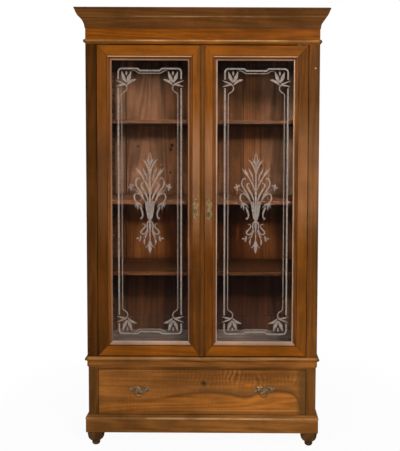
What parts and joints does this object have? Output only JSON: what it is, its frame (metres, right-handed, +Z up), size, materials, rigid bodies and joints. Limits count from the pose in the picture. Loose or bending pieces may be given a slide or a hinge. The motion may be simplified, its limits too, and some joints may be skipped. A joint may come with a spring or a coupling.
{
  "type": "glazed display cabinet",
  "caption": "Tall walnut display cabinet with glazed doors, adjustable shelves, a long drawer below, turned feet and a moulded cornice.",
  "frame": {"origin": "middle of the footprint, on the floor under the feet", "axes": "+Z up, +Y towards the back, so the doors and drawer face -Y"},
  "size_m": [1.255, 0.486, 2.211],
  "materials": {
    "post_walnut": "satin",
    "door_walnut": "satin",
    "mould_walnut": "satin",
    "drawer_veneer": "satin",
    "inner_pine": "satin",
    "glass": "gloss",
    "brass": "satin",
    "steel": "satin"
  },
  "bodies": {
    "cabinet": {"turned_feet": "mould_walnut", "plinth_boards": "mould_walnut", "base_posts": "post_walnut", "base_left_side": "post_walnut", "base_right_side": "post_walnut", "base_floor": "inner_pine", "base_back": "inner_pine", "drawer_rails": "post_walnut", "drawer_runners": "inner_pine", "waist_moulding": "mould_walnut", "case_front_posts": "post_walnut", "case_back_posts": "post_walnut", "case_left_side": "post_walnut", "case_right_side": "post_walnut", "case_floor": "inner_pine", "case_head": "inner_pine", "back_frame": "inner_pine", "back_panels": "inner_pine", "toothed_racks": "inner_pine", "shelf_cleats": "inner_pine", "upper_shelf": "inner_pine", "middle_shelf": "inner_pine", "lower_shelf": "inner_pine", "frieze_boards": "post_walnut", "frieze_bead": "mould_walnut", "crown_moulding": "mould_walnut", "cornice_top": "inner_pine", "pivot_sockets": "brass"},
    "left_door": {"left_door_hinge_stile": "door_walnut", "left_door_meeting_stile": "door_walnut", "left_door_top_rail": "door_walnut", "left_door_bottom_rail": "door_walnut", "left_door_glazing": "mould_walnut", "left_door_glass": "glass", "left_door_back_beads": "door_walnut", "left_door_astragal": "mould_walnut", "left_door_pivots": "brass", "left_door_escutcheon": "brass", "left_door_keeper": "brass"},
    "right_door": {"right_door_hinge_stile": "door_walnut", "right_door_meeting_stile": "door_walnut", "right_door_top_rail": "door_walnut", "right_door_bottom_rail": "door_walnut", "right_door_glazing": "mould_walnut", "right_door_glass": "glass", "right_door_back_beads": "door_walnut", "right_door_pivots": "brass", "right_door_escutcheon": "brass", "door_lock": "steel"},
    "drawer": {"drawer_front": "drawer_veneer", "drawer_left_side": "inner_pine", "drawer_right_side": "inner_pine", "drawer_back": "inner_pine", "drawer_bottom": "inner_pine", "drawer_lock": "brass", "drawer_pull_plates": "brass"},
    "left_bail": {"drawer_left_bail": "brass"},
    "right_bail": {"drawer_right_bail": "brass"},
    "door_key": {"door_key": "steel"},
    "door_bolt": {"lock_bolt": "steel"}
  },
  "joints": [
    {"name": "left_door_hinge", "type": "hinge", "parent": "cabinet", "child": "left_door", "pos_m": [-0.5195, -0.192, 0.473], "axis": [0, 0, -1], "range_deg": [0, 105]},
    {"name": "right_door_hinge", "type": "hinge", "parent": "cabinet", "child": "right_door", "pos_m": [0.5195, -0.192, 0.473], "axis": [0, 0, 1], "range_deg": [0, 105]},
    {"name": "drawer_slide", "type": "slide", "parent": "cabinet", "child": "drawer", "axis": [0, -1, 0], "range_m": [0, 0.3]},
    {"name": "left_bail_swing", "type": "hinge", "parent": "drawer", "child": "left_bail", "pos_m": [-0.316, -0.2035, 0.3], "axis": [-1, 0, 0], "range_deg": [0, 90]},
    {"name": "right_bail_swing", "type": "hinge", "parent": "drawer", "child": "right_bail", "pos_m": [0.316, -0.2035, 0.3], "axis": [-1, 0, 0], "range_deg": [0, 90]},
    {"name": "key_turn", "type": "hinge", "parent": "right_door", "child": "door_key", "pos_m": [0.034, -0.21, 1.2], "axis": [0, 1, 0], "range_deg": [0, 180]},
    {"name": "bolt_slide", "type": "slide", "parent": "right_door", "child": "door_bolt", "axis": [-1, 0, 0], "range_m": [0, 0.012]}
  ],
  "couplings": [
    {"joint": "key_turn", "follows": "bolt_slide", "rad_per_m": 261.7}
  ]
}
